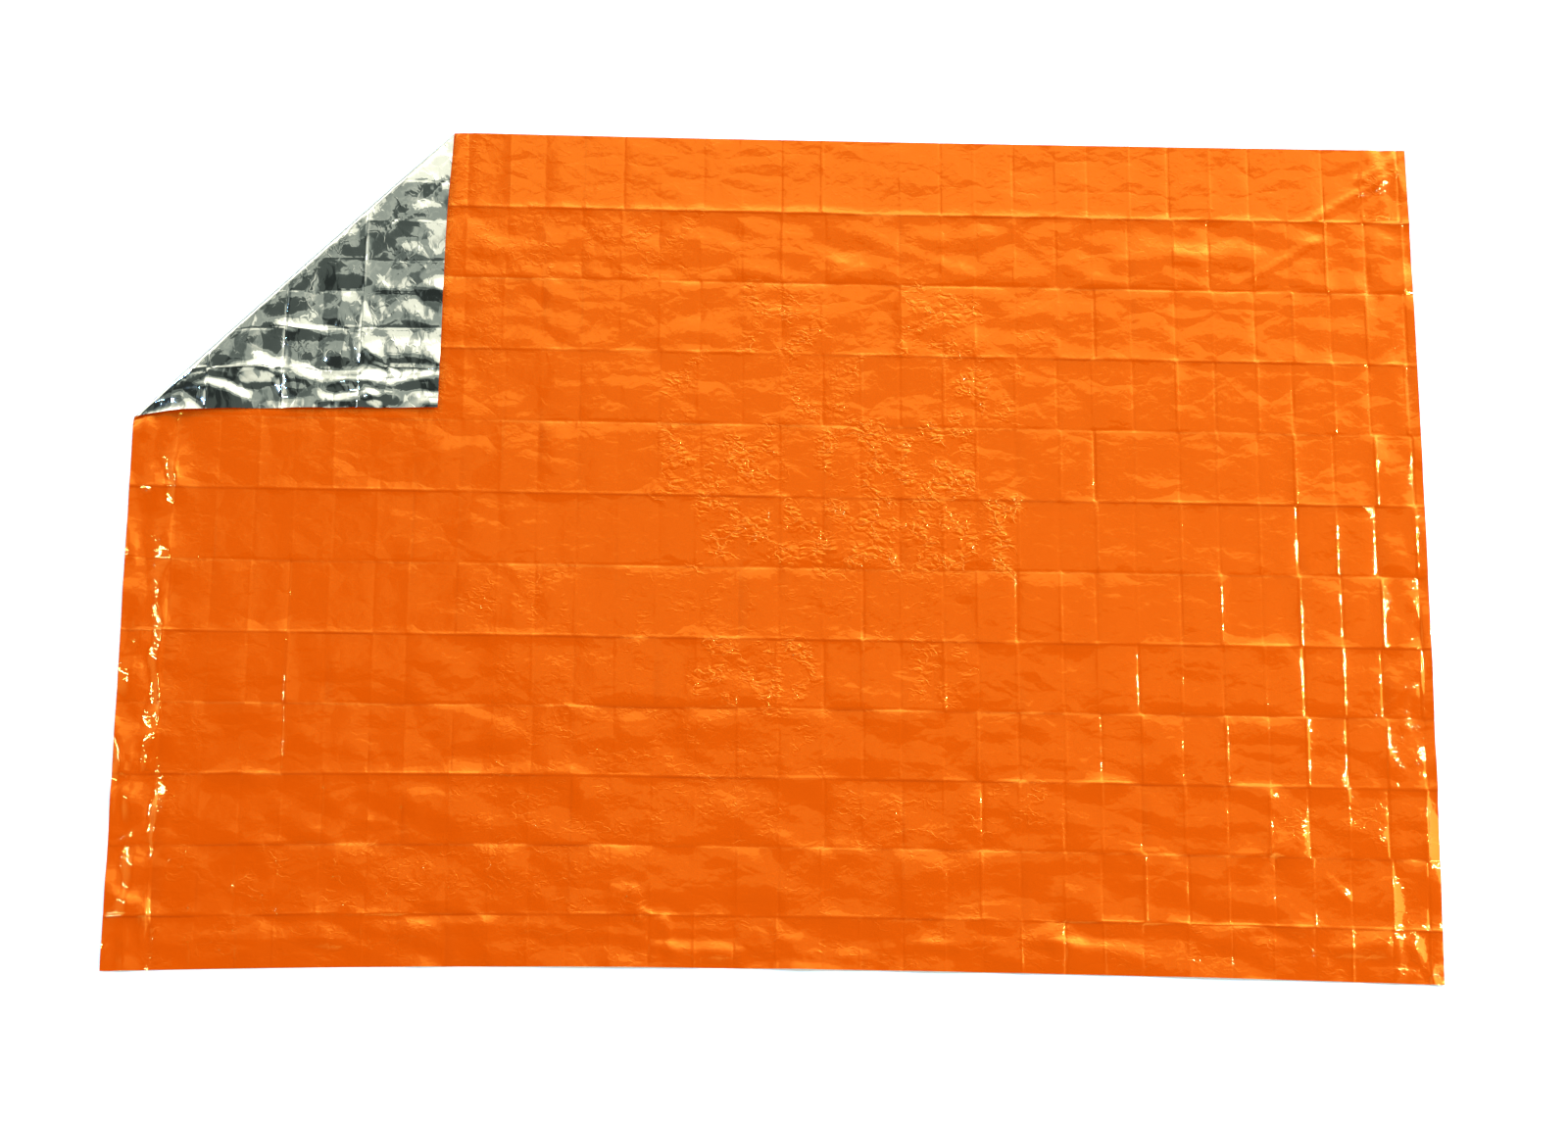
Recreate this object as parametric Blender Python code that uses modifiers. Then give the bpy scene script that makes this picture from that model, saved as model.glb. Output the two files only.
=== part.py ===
"""Emergency foil blanket, laid out with one corner turned over onto it.

One rectangle of two-coloured film, orange above and silver below, lies on a flat
surface. Its left far corner is folded back over a soft bend, so that the silver
reverse shows there. The creases of its pocket pack stand as low, uneven ridges.

The flat film is scored along its creases and along the bend, its points are lifted
and folded by formulas, and Solidify gives it its thickness.

Frame: metres, +Z up, +X along the length. The origin is at the centre of the
blanket's plan, on the surface that it lies on.
"""

import math

import bmesh
import bpy
import numpy as np
from mathutils import Vector

# The cut film
LENGTH = 2.10
WIDTH = 1.40
THICKNESS = 0.0012

# The corner that is turned over: where the bend leaves the two edges, measured
# from the hidden corner, and the bend's outer radius
BEND_ALONG_FAR_EDGE = 0.503
BEND_ALONG_LEFT_EDGE = 0.509
BEND_RADIUS = 0.010
BEND_STEPS = 6

# The flap sinks from the bend to its own gap over the film below it. Its relief takes
# up a share of its run, and the bend gives some back, most at its left end
FLAP_GAP = 0.004
FLAP_SETTLE = 0.060
FLAP_SCORES = (0.020, 0.045, 0.080)
FLAP_SHRINK = 0.030
GIVEN_BACK_LEFT = 0.012
GIVEN_BACK_FAR = 0.001
GIVEN_BACK_REACH = 0.030
PRESSED_UNDER_FLAP = 0.3

# The pack's rows: the widths of the one at the far edge, of the next, and of the last
# whole one, between which the rows narrow evenly
FAR_ROW = 0.130
SECOND_ROW = 0.125
LAST_ROW = 0.112

# The creases between the rows, from the far edge: how high each one's ridge stands at
# most, and where along the length its swell starts, in turns
RIDGE_HEIGHT, RIDGE_PHASE = range(2)
RIDGES = (
    (0.0035, 0.10),
    (0.0045, 0.55),
    (0.0040, 0.30),
    (0.0030, 0.80),
    (0.0045, 0.15),
    (0.0035, 0.60),
    (0.0040, 0.35),
    (0.0050, 0.95),
    (0.0040, 0.20),
    (0.0045, 0.70),
    (0.0035, 0.45),
)
RIDGE_REACH = 0.014
SWELL_LENGTH = 0.83
SWELL_SHARE = 0.35
CALM_BESIDE_BEND = 0.050

# Columns of the pack, which give the ridges their uneven crests
COLUMN_PITCH = 0.070

# The short edges curl up a little in places
CURL_REACH = 0.055
CURL_HEIGHT = 0.005
CURL_LENGTH = 0.310
CURL_PHASE = 0.3

# The outline isn't straight: how far each long edge is drawn in, where along it
# that is widest, and how far from the edge it fades out; the right edge bows out
FAR_DRAW = 0.0045
NEAR_DRAW = 0.0150
DRAW_PEAK_X = -0.20
FAR_DRAW_REACH = 0.35
NEAR_DRAW_REACH = 0.55
RIGHT_BOW = 0.0050
RIGHT_BOW_REACH = 0.25

WELD = 0.0015
SCORE_TOLERANCE = 0.00015

ORANGE = (0.78, 0.19, 0.02, 1.0)
SILVER = (0.62, 0.64, 0.60, 1.0)


def clear_scene():
    """Remove the objects that a new Blender file starts with."""
    for leftover in list(bpy.data.objects):
        bpy.data.objects.remove(leftover, do_unlink=True)


def film_material(name, colour, roughness, metallic):
    """Return a plain film finish."""
    material = bpy.data.materials.new(name)
    material.use_nodes = True
    shader = material.node_tree.nodes["Principled BSDF"]
    shader.inputs["Base Color"].default_value = colour
    shader.inputs["Roughness"].default_value = roughness
    shader.inputs["Metallic"].default_value = metallic
    material.diffuse_color = colour
    return material


def bend_line():
    """Return a point on the bend's outer line, its direction, and the way to the corner."""
    far_end = Vector((-LENGTH / 2 + BEND_ALONG_FAR_EDGE, WIDTH / 2, 0))
    left_end = Vector((-LENGTH / 2, WIDTH / 2 - BEND_ALONG_LEFT_EDGE, 0))
    along = (far_end - left_end).normalized()
    to_corner = Vector((-along.y, along.x, 0))
    return left_end, along, to_corner


def bend_scores():
    """Return how far from the bend's outer line the film is scored, towards the corner.

    The bend is half a turn, so its film is half a circle's arc long. The arc's middle
    touches the outer line, past which the arc has used up more film than its radius.
    """
    arc_middle = (math.pi / 2 - 1) * BEND_RADIUS
    half_arc = math.pi / 2 * BEND_RADIUS
    scores = [arc_middle + half_arc * (2 * step / BEND_STEPS - 1) for step in range(BEND_STEPS + 1)]
    return scores + [arc_middle + half_arc + distance for distance in FLAP_SCORES]


def crease_places():
    """Return how far the row creases lie from the middle line, from the far edge on."""
    widths = np.linspace(SECOND_ROW, LAST_ROW, len(RIDGES) - 1)
    return WIDTH / 2 - FAR_ROW - np.concatenate([[0], np.cumsum(widths)])


def score(film, point, normal):
    """Cut the film's faces along a line, and keep both sides."""
    bmesh.ops.bisect_plane(
        film,
        geom=film.verts[:] + film.edges[:] + film.faces[:],
        dist=SCORE_TOLERANCE,
        plane_co=point,
        plane_no=normal,
    )


def scored_film():
    """Return the flat film, scored along its creases, its columns and the bend."""
    film = bmesh.new()
    bmesh.ops.create_grid(film, x_segments=1, y_segments=1, size=1)
    bmesh.ops.scale(film, vec=(LENGTH / 2, WIDTH / 2, 1), verts=film.verts)
    for place in crease_places():
        for side in (-1, 0, 1):
            score(film, (0, place + side * RIDGE_REACH, 0), (0, 1, 0))
    for column in range(1, round(LENGTH / COLUMN_PITCH)):
        score(film, (column * COLUMN_PITCH - LENGTH / 2, 0, 0), (1, 0, 0))
    line_point, _, to_corner = bend_line()
    for distance in bend_scores():
        score(film, line_point + distance * to_corner, to_corner)
    bmesh.ops.remove_doubles(film, verts=film.verts, dist=WELD)
    bmesh.ops.triangulate(film, faces=film.faces)
    return film


def ridges(x, y):
    """Return the ridges' height at points of the flat film.

    Each crease is a tent across the width. Along the length its height swells and
    sinks as a sine, down to SWELL_SHARE of its full height.
    """
    height = np.zeros_like(x)
    for place, ridge in zip(crease_places(), RIDGES):
        tent = np.clip(1 - np.abs(y - place) / RIDGE_REACH, 0, 1)
        wave = (1 + np.sin(2 * np.pi * (x / SWELL_LENGTH + ridge[RIDGE_PHASE]))) / 2
        height += ridge[RIDGE_HEIGHT] * tent * (SWELL_SHARE + (1 - SWELL_SHARE) * wave)
    return height


def curl(x, y):
    """Return how far the short edges stand off the surface: a squared ramp times a wave."""
    ramp = np.clip((np.abs(x) - LENGTH / 2 + CURL_REACH) / CURL_REACH, 0, 1) ** 2
    wave = np.clip(np.sin(2 * np.pi * (y / CURL_LENGTH + CURL_PHASE * np.sign(x))), 0, 1)
    return CURL_HEIGHT * ramp * wave


def draw_in(x, y):
    """Return the plan places after the edges are drawn in.

    A long edge moves in by a parabola along it that is widest at DRAW_PEAK_X, and
    the move fades away from the edge. The right edge keeps its middle and its ends
    move in, so it bows out.
    """
    half_length, half_width = LENGTH / 2, WIDTH / 2
    reach = np.where(x < DRAW_PEAK_X, DRAW_PEAK_X + half_length, half_length - DRAW_PEAK_X)
    along = np.clip(1 - ((x - DRAW_PEAK_X) / reach) ** 2, 0, 1)
    near = np.clip(1 - (y + half_width) / NEAR_DRAW_REACH, 0, 1)
    far = np.clip(1 - (half_width - y) / FAR_DRAW_REACH, 0, 1)
    right = np.clip(1 - (half_length - x) / RIGHT_BOW_REACH, 0, 1)
    return (
        x - RIGHT_BOW * right * (y / half_width) ** 2,
        y + along * (NEAR_DRAW * near - FAR_DRAW * far),
    )


def fold(points):
    """Return the film's points where they lie, from where they are on the flat film.

    Short of the bend a point stays. On the bend it goes round half a circle. Past it
    the point runs back over the film, and sinks by a bell curve from the bend's
    height to FLAP_GAP over the film below.
    """
    x, y = points[:, 0], points[:, 1]
    line_point, along, to_corner = bend_line()
    from_line = points[:, :2] - np.array(line_point[:2])
    run = from_line @ np.array(along[:2])
    past = from_line @ np.array(to_corner[:2])
    arc = past - (math.pi / 2 - 1) * BEND_RADIUS
    half_arc = math.pi / 2 * BEND_RADIUS
    turn = np.clip(arc, -half_arc, half_arc) / BEND_RADIUS
    flap_run = np.clip(arc - half_arc, 0, None)
    on_flap = arc > half_arc

    share_along = np.clip(run / math.hypot(BEND_ALONG_FAR_EDGE, BEND_ALONG_LEFT_EDGE), 0, 1)
    given_back = GIVEN_BACK_LEFT + (GIVEN_BACK_FAR - GIVEN_BACK_LEFT) * share_along
    given_back = given_back * (1 - np.exp(-flap_run / GIVEN_BACK_REACH))
    reach = BEND_RADIUS * (np.cos(turn) - 1) - flap_run * (1 - FLAP_SHRINK) + given_back
    place = np.where(past < -BEND_RADIUS, past, reach)
    plan = np.array(line_point[:2]) + np.outer(run, along[:2]) + np.outer(place, to_corner[:2])

    calm = np.clip(np.abs(arc) / CALM_BESIDE_BEND, 0, 1)
    own = ridges(x, y) * calm
    pressed = ridges(plan[:, 0], plan[:, 1]) * PRESSED_UNDER_FLAP
    under_flap = is_under_flap(plan[:, 0], plan[:, 1]) & (past < -BEND_RADIUS)
    resting = np.where(under_flap, pressed, own) + curl(x, y) * calm
    floor = pressed + FLAP_GAP + 2 * THICKNESS + own
    bell = np.exp(-((flap_run / FLAP_SETTLE) ** 2))
    flap_height = floor + (2 * BEND_RADIUS - floor) * bell
    round_bend = BEND_RADIUS * (1 + np.sin(turn))
    height = np.where(on_flap, flap_height, np.where(past < -BEND_RADIUS, resting, round_bend))
    plan_x, plan_y = draw_in(plan[:, 0], plan[:, 1])
    return np.column_stack([plan_x, plan_y, height])


def is_under_flap(x, y):
    """Return which plan places the flap covers, with a ridge's reach round it."""
    right_edge = -LENGTH / 2 + BEND_ALONG_FAR_EDGE + RIDGE_REACH
    near_edge = WIDTH / 2 - BEND_ALONG_LEFT_EDGE - RIDGE_REACH
    return (x < right_edge) & (y > near_edge)


def make_blanket(collection):
    """Make the blanket as one solid: orange above, silver below."""
    film = scored_film()
    mesh = bpy.data.meshes.new("blanket")
    film.to_mesh(mesh)
    film.free()
    points = np.empty(3 * len(mesh.vertices))
    mesh.vertices.foreach_get("co", points)
    mesh.vertices.foreach_set("co", fold(points.reshape(-1, 3)).ravel())
    mesh.update()
    mesh.materials.append(film_material("orange_film", ORANGE, 0.3, 0.0))
    mesh.materials.append(film_material("silver_film", SILVER, 0.2, 1.0))
    blanket = bpy.data.objects.new("blanket", mesh)
    collection.objects.link(blanket)
    thicken = blanket.modifiers.new("thickness", "SOLIDIFY")
    thicken.thickness = THICKNESS
    thicken.offset = 1
    thicken.use_even_offset = True
    thicken.material_offset = 1
    thicken.material_offset_rim = 0
    return blanket


def main():
    """Build the blanket in a collection of its own."""
    clear_scene()
    collection = bpy.data.collections.new("emergency_foil_blanket")
    bpy.context.scene.collection.children.link(collection)
    make_blanket(collection)


main()
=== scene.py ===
"""Emergency foil blanket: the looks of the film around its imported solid.

One rectangle of laminated film, orange lacquer above and bright metal below, lies
laid out with a corner turned over. The film is worked out on its own flat plan, in
metres: creases of the pocket pack, wrinkles and crumples are a height over that plan,
and the plan is then folded and laid as the solid is.
"""

import logging
import math
from dataclasses import dataclass
from enum import Enum

import bmesh
import bpy
import numpy as np
from mathutils import Euler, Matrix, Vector


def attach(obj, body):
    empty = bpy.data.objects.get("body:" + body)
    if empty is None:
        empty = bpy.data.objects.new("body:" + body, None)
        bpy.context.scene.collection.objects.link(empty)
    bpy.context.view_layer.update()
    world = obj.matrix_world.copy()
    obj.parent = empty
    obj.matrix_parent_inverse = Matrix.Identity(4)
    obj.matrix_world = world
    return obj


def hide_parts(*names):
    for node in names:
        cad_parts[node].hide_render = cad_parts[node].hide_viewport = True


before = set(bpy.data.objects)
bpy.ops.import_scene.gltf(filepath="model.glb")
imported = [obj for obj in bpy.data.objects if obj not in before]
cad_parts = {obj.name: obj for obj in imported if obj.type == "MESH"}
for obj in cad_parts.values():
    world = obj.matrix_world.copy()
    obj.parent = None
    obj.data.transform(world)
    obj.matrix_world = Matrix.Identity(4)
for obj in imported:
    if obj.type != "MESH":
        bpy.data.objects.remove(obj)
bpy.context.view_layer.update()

LOG = logging.getLogger("foil_blanket")

Array = np.ndarray
Tree = bpy.types.NodeTree
Node = bpy.types.Node
Socket = bpy.types.NodeSocket
Stops = tuple[tuple[float, float], ...]
MM = 0.001


class Crest(Enum):
    """Which way a crease stands: up from the film, or down into it."""

    RIDGE = 1.0
    TROUGH = -1.0


# ---- helpers


def linear(hex_colour: str) -> tuple[float, float, float, float]:
    """Turn an sRGB hex colour, six digits after a hash, into a linear opaque one."""
    channels = [int(hex_colour[i : i + 2], 16) / 255 for i in (1, 3, 5)]
    bright = [((c + 0.055) / 1.055) ** 2.4 for c in channels]
    return (*(c / 12.92 if c <= 0.04045 else b for c, b in zip(channels, bright)), 1.0)


def smooth(t: Array) -> Array:
    """Return the smooth step of t: 0 below 0, 1 above 1, level at both ends."""
    t = np.clip(t, 0.0, 1.0)
    return t * t * (3 - 2 * t)


def cell(edges: Array, places: Array) -> tuple[Array, Array]:
    """Return which cell between rising edges places lie in, and their share through it."""
    index = np.clip(np.searchsorted(edges, places) - 1, 0, len(edges) - 2)
    return index, np.clip((places - edges[index]) / (edges[index + 1] - edges[index]), 0, 1)


def records(kind: type, *rows: tuple) -> tuple:
    """Return a record of one kind for each row of values."""
    return tuple(kind(*row) for row in rows)


def add_node(tree: Tree, kind: str, settings: dict | None = None, **links) -> Node:
    """Add a node with its settings and links.

    Args:
        tree: the node tree to add to.
        kind: Blender's name of the node.
        settings: attribute names, or input names or numbers, with their values.
        links: an input's name, or in_0 and so on for its number, and what feeds it.

    Returns:
        The new node.
    """
    node = tree.nodes.new(kind)
    for name, value in (settings or {}).items():
        if isinstance(name, str) and hasattr(node, name):
            setattr(node, name, value)
        else:
            node.inputs[name].default_value = value
    for name, source in links.items():
        key = int(name[3:]) if name.startswith("in_") else name
        output = source.outputs[0] if isinstance(source, Node) else source
        tree.links.new(output, node.inputs[key])
    return node


def add_maths(tree: Tree, operation: str, *values: float | Node | Socket) -> Node:
    """Add a maths node, whose inputs in order are plain numbers or what feeds them."""
    plain = {number: value for number, value in enumerate(values) if isinstance(value, float)}
    fed = {f"in_{number}": value for number, value in enumerate(values) if number not in plain}
    return add_node(tree, "ShaderNodeMath", {"operation": operation, **plain}, **fed)


def add_colours(tree: Tree, share: Node | Socket, low: str, high: str) -> Socket:
    """Add a mix from one hex colour to another by a share, and return its colour."""
    mix = add_node(tree, "ShaderNodeMix", {"data_type": "RGBA"}, Factor=share)
    ends = [socket for socket in mix.inputs if socket.type == "RGBA"]
    for end, colour in zip(ends, (low, high)):
        end.default_value = linear(colour)
    return mix.outputs[2]


def new_material(name: str, inputs: dict[str, float | tuple]) -> tuple[bpy.types.Material, Node]:
    """Add a material, and return it with its main shader, whose inputs are set."""
    material = bpy.data.materials.new(name)
    material.use_nodes = True
    shader = material.node_tree.nodes["Principled BSDF"]
    for key, value in inputs.items():
        shader.inputs[key].default_value = value
    return material, shader


def add_to_scene(obj: bpy.types.Object) -> bpy.types.Object:
    """Put an object into the scene and return it."""
    bpy.context.scene.collection.objects.link(obj)
    return obj


class FilmNoise:
    """Seeded smooth noise over the flat plan: random numbers on a lattice, eased between."""

    LATTICE = 128
    # Where the plan's middle lies on the lattice
    START_ACROSS, START_ALONG = 51.3, 37.7

    def __init__(
        self, seed: int, length: float, stretch: float = 1, height: float = 1, mean: float = 0
    ) -> None:
        """Draw the lattice's numbers, from -1 to 1.

        Args:
            seed: the draw's seed.
            length, stretch: the lattice's spacing across, and its multiple along.
            height, mean: how far the noise goes up and down, and round which value.
        """
        self.table = np.random.default_rng(seed).uniform(-1, 1, (self.LATTICE, self.LATTICE))
        self.length, self.stretch, self.height, self.mean = length, stretch, height, mean

    def at(self, x: Array | float, y: Array | float) -> Array:
        """Return the noise at points of the plan."""
        across = y / self.length + self.START_ACROSS
        along = x / (self.length * self.stretch) + self.START_ALONG
        i, j = np.floor(across).astype(int), np.floor(along).astype(int)
        s, t = smooth(across - i), smooth(along - j)
        i0, i1 = i % self.LATTICE, (i + 1) % self.LATTICE
        j0, j1 = j % self.LATTICE, (j + 1) % self.LATTICE
        near = self.table[i0, j0] * (1 - t) + self.table[i0, j1] * t
        far = self.table[i1, j0] * (1 - t) + self.table[i1, j1] * t
        return self.mean + self.height * (near * (1 - s) + far * s)


class Facets:
    """Crumpled foil over the flat plan: flat facets that meet in straight creases.

    Two sets of points are scattered, each with one point to a lattice cell. The height is
    the squared distance to the nearest point of one set less that to the nearest point of
    the other. It is a plane wherever neither nearest point changes, and has no steps.
    """

    LATTICE = 128
    START = 40

    def __init__(self, seed: int, length: float, stretch: float, slope: float) -> None:
        """Scatter the points.

        Args:
            seed: the draw's seed.
            length, stretch: the cells' size across, and its multiple along.
            slope: how steep a facet is where its two points lie a cell apart.
        """
        cells = (self.LATTICE, self.LATTICE)
        self.points = np.random.default_rng(seed).uniform(0, 1, (2, *cells, 2))
        self.length, self.stretch, self.slope = length, stretch, slope

    def nearest(self, points: Array, along: Array, across: Array) -> Array:
        """Return the squared distance, in cells, to the nearest point of one set."""
        i, j = np.floor(across).astype(int), np.floor(along).astype(int)
        best = np.full(along.shape, np.inf)
        for near_i in (i - 1, i, i + 1):
            for near_j in (j - 1, j, j + 1):
                place = points[near_i % self.LATTICE, near_j % self.LATTICE]
                off_j, off_i = near_j + place[..., 0] - along, near_i + place[..., 1] - across
                best = np.minimum(best, off_j**2 + off_i**2)
        return best

    def relief(self, x: Array, y: Array) -> Array:
        """Return the facets' height at points of the plan, in metres."""
        along = x / (self.length * self.stretch) + self.START
        across = y / self.length + self.START
        first, second = self.points
        difference = self.nearest(first, along, across) - self.nearest(second, along, across)
        return 0.5 * self.slope * self.length * difference


# ---- sizes of the film


@dataclass(frozen=True)
class FilmSize:
    """The cut film, in metres."""

    length: float = 2.10
    width: float = 1.40
    thickness: float = 0.3 * MM

    @property
    def half(self) -> tuple[float, float]:
        """Half the length and half the width."""
        return self.length / 2, self.width / 2


@dataclass(frozen=True)
class Bend:
    """The turned corner: the same bend as the solid's, in metres and shares.

    Attributes:
        along_far_edge, along_left_edge: where the bend meets the edges, from the corner.
        radius, end_share, flat_end: its radius, the share left at the edges, and how far
            in from them it is whole.
        steps: how many times the film is scored round it.
        gap, least_gap: the flap's gap over the film below, and the share always kept.
        settle: how far past the bend the flap sinks to that gap.
        shrink: how much shorter the flap lies than it is cut, by its crumples.
        take_up_near, take_up_far, take_up_reach: how much of that it gives back beside
            the bend, at the left and far ends, and how far from the bend.
        calm, round_share: how far from the bend the relief is whole, and its share there.
        facets_from: how far past the bend the corner's own facets are whole.
        follow_below, follow_own: how much of the two reliefs the flap's height follows.
    """

    along_far_edge: float = 0.503
    along_left_edge: float = 0.509
    radius: float = 0.010
    end_share: float = 0.35
    flat_end: float = 0.14
    steps: int = 14
    gap: float = 0.0032
    least_gap: float = 0.6
    settle: float = 0.060
    shrink: float = 0.030
    take_up_near: float = 0.012
    take_up_far: float = 0.001
    take_up_reach: float = 0.030
    calm: float = 0.030
    round_share: float = 0.25
    facets_from: float = 0.045
    follow_below: float = 0.5
    follow_own: float = 1.1


@dataclass(frozen=True)
class Outline:
    """How the edges are drawn in, as on the solid, in metres.

    Attributes:
        far_draw, near_draw: how far the far and the near edge are drawn in at most.
        peak_x: where along the length that is.
        far_reach, near_reach: how far into the film it fades.
        right_bow, right_reach: how far the right edge's ends are drawn in, and fade.
    """

    far_draw: float = 0.0045
    near_draw: float = 0.0150
    peak_x: float = -0.20
    far_reach: float = 0.35
    near_reach: float = 0.55
    right_bow: float = 0.0050
    right_reach: float = 0.25


@dataclass(frozen=True)
class Pack:
    """The pocket pack that the film was folded into, which left its creases.

    Attributes:
        far_row, second_row, last_row: how wide the row at the far edge is, the next one,
            and the last before the near edge's strip; those between narrow evenly.
        row_creases: how many creases run along the length.
        first_column: how far the first column crease lies in from the right edge.
        column: how wide a column is.
        uneven, seed: how far a column crease may lie off its even place, and the draw.
    """

    far_row: float = 0.130
    second_row: float = 0.125
    last_row: float = 0.112
    row_creases: int = 11
    first_column: float = 0.015
    column: float = 0.065
    uneven: float = 6.0 * MM
    seed: int = 7

    def row_places(self, width: float) -> Array:
        """Return how far the row creases lie from the middle line, from the far edge on."""
        widths = np.linspace(self.second_row, self.last_row, self.row_creases - 1)
        return width / 2 - self.far_row - np.concatenate([[0], np.cumsum(widths)])

    def column_places(self, length: float) -> Array:
        """Return where the column creases lie along the length, from left to right."""
        count = int((length - self.first_column) / self.column)
        even = length / 2 - self.first_column - self.column * np.arange(count)[::-1]
        return even + np.random.default_rng(self.seed).uniform(-1, 1, count) * self.uneven


@dataclass(frozen=True)
class RowCrease:
    """A crease along the length: its greatest height, and how far it falls off, in mm."""

    crest: Crest
    height: float
    reach: float


@dataclass(frozen=True)
class BoldCrease:
    """A column crease that stands out, and its height in mm.

    Columns count from the right edge, and rows from the far edge.
    """

    column: int
    first_row: int
    last_row: int
    height: float


@dataclass(frozen=True)
class Wrinkle:
    """A wrinkle, from one point of the flat plan to another, in metres.

    Its height, below 0 for a trough, and how far it falls off to each side are in mm.
    """

    x0: float
    y0: float
    x1: float
    y1: float
    height: float
    reach: float


@dataclass(frozen=True)
class Patch:
    """Cells of the pack with a share of coarse, thumb-sized crumples and of fine crinkles.

    Rows count from the far edge. Its two ends are column creases counted from the right
    edge, which is 0.
    """

    first_row: int
    last_row: int
    right: int
    left: int
    coarse: float
    fine: float


@dataclass(frozen=True)
class Row:
    """How one row of the pack lies: its shares of the swell, streaks and facets."""

    swell: float
    streaks: float
    facets: float


# The row creases, from the far edge: crest, height, reach
ROW_CREASES = records(
    RowCrease,
    (Crest.RIDGE, 1.6, 3.6), (Crest.TROUGH, 1.0, 2.4), (Crest.RIDGE, 0.9, 2.6),
    (Crest.TROUGH, 0.7, 2.2), (Crest.RIDGE, 0.9, 2.6), (Crest.TROUGH, 0.9, 2.4),
    (Crest.RIDGE, 0.9, 2.6), (Crest.TROUGH, 0.9, 2.4), (Crest.RIDGE, 1.2, 3.2),
    (Crest.TROUGH, 0.8, 2.4), (Crest.RIDGE, 0.7, 2.4),
)

# The rows, from the far edge: swell, streaks, facets
ROWS = records(
    Row,
    (0.35, 0.20, 0.10), (0.45, 0.60, 1.00), (0.40, 0.40, 0.60), (0.50, 0.40, 0.25),
    (0.60, 0.35, 0.25), (0.60, 0.35, 0.25), (0.60, 0.40, 0.30), (0.85, 0.70, 0.70),
    (0.90, 1.00, 1.20), (1.00, 1.20, 1.40), (1.00, 1.20, 1.20), (1.20, 2.40, 1.60),
)

# The bold column creases: column, first and last row, height
BOLD_CREASES = records(
    BoldCrease,
    (1, 2, 10, 1.7), (2, 1, 10, 1.7), (3, 3, 9, 1.2), (4, 3, 9, 1.7), (5, 5, 10, 1.0),
    (6, 3, 10, 1.1), (7, 2, 9, 1.0), (8, 0, 0, 1.0), (10, 0, 0, 0.8), (13, 0, 0, 0.8),
    (16, 0, 0, 0.9), (17, 0, 0, 0.8), (21, 0, 0, 0.8), (24, 0, 0, 0.9), (25, 0, 0, 1.2),
    (28, 9, 9, 1.0), (29, 6, 8, 1.2), (8, 8, 10, 1.3), (9, 8, 9, 1.3), (10, 7, 9, 1.1),
)

# The crumpled patches: first and last row, right, left, coarse, fine
PATCHES = records(
    Patch,
    (0, 0, 5, 25, 0.15, 0.1), (1, 1, 19, 24, 0.7, 0.3), (1, 1, 5, 19, 0.4, 0.1),
    (2, 2, 16, 18, 0.4, 0.6), (2, 2, 12, 14, 0.3, 0.6), (2, 2, 10, 11, 0.4, 0.2),
    (3, 3, 19, 20, 0.3, 0.5), (3, 3, 15, 17, 0.3, 0.5), (3, 3, 11, 13, 0.3, 0.6),
    (4, 4, 17, 20, 0.3, 0.9), (4, 4, 12, 16, 0.4, 1.0), (5, 5, 17, 19, 0.4, 0.9),
    (5, 5, 11, 17, 0.4, 1.0), (6, 6, 22, 25, 0.4, 0.3), (6, 6, 12, 21, 0.3, 0.2),
    (7, 7, 20, 24, 0.6, 0.2), (7, 7, 16, 19, 0.5, 0.8), (7, 7, 12, 14, 0.3, 0.5),
    (8, 8, 16, 24, 0.5, 0.3), (8, 8, 4, 9, 0.3, 0.1), (9, 9, 17, 25, 0.5, 0.3),
    (9, 9, 10, 16, 0.4, 0.3), (9, 9, 2, 5, 0.5, 0.2), (10, 10, 23, 30, 0.5, 0.3),
    (10, 10, 20, 23, 0.7, 0.3), (10, 10, 12, 17, 0.4, 0.2), (11, 11, 0, 32, 0.4, 0.2),
    # Beside the short edges
    (4, 7, 31, 32, 0.3, 0.12), (8, 11, 31, 32, 0.4, 0.18), (9, 11, 0, 2, 0.35, 0.12),
    (0, 0, 0, 2, 0.3, 0.3),
    # The corner that is turned over
    (0, 3, 24, 32, 0.25, 0.2),
)

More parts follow.
